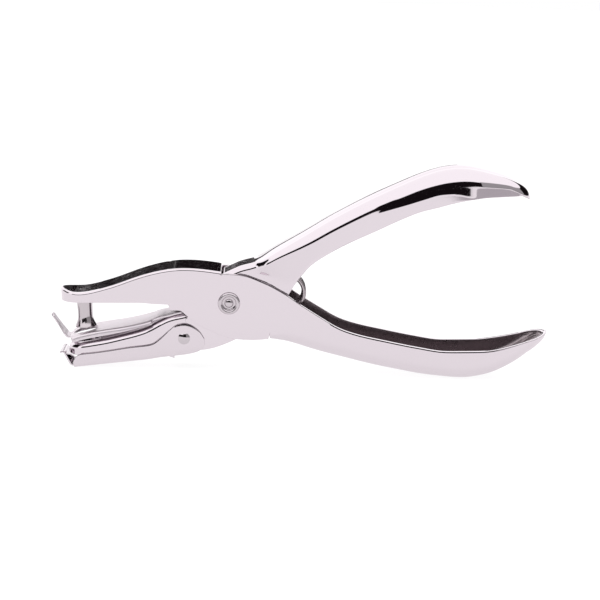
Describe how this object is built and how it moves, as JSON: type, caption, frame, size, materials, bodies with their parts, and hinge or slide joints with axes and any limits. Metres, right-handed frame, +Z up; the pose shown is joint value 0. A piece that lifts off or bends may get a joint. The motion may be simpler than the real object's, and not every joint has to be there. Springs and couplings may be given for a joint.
{
  "type": "plier hole punch",
  "caption": "Hand-held plier punch with crossed pressed-steel levers, a waisted punch over a die, a spring-steel stripper, a torsion spring and a hinged chip tray.",
  "frame": {"origin": "middle of the bottom of the part's box, with the tool lying open on its chip tray and its lower handle", "axes": "+X from the jaws to the handles, +Y across the cheeks, +Z up from the surface it lies on"},
  "size_m": [0.1399, 0.016, 0.0603],
  "materials": {
    "plated_steel": "bright nickel plating over pressed mild steel",
    "plated_sheet": "bright nickel plating over thin steel sheet",
    "rivet_steel": "plated, with a peened head",
    "tool_steel": "ground and turned",
    "spring_wire": "drawn wire, satin"
  },
  "bodies": {
    "outer": {"outer_lever": "plated_steel", "punch_pin": "tool_steel", "pivot_rivet": "rivet_steel", "return_spring": "spring_wire"},
    "inner": {"inner_lever": "plated_steel", "die_bush": "tool_steel", "stripper_plate": "plated_sheet", "stripper_rivet": "rivet_steel", "tray_rivets": "rivet_steel"},
    "tray": {"chip_tray": "plated_sheet"}
  },
  "joints": [
    {"name": "main_pivot", "type": "hinge", "parent": "outer", "child": "inner", "pos_m": [-0.02041, 0, 0.02006], "axis": [0, 1, 0], "range_deg": [0, 8], "stiffness_Nm_per_rad": 0.5, "springref_deg": -29.79, "deforming": ["return_spring"]},
    {"name": "tray_hinge", "type": "hinge", "parent": "inner", "child": "tray", "pos_m": [-0.03265, 0, 0.00925], "axis": [0, -1, 0], "range_deg": [0, 30]}
  ]
}
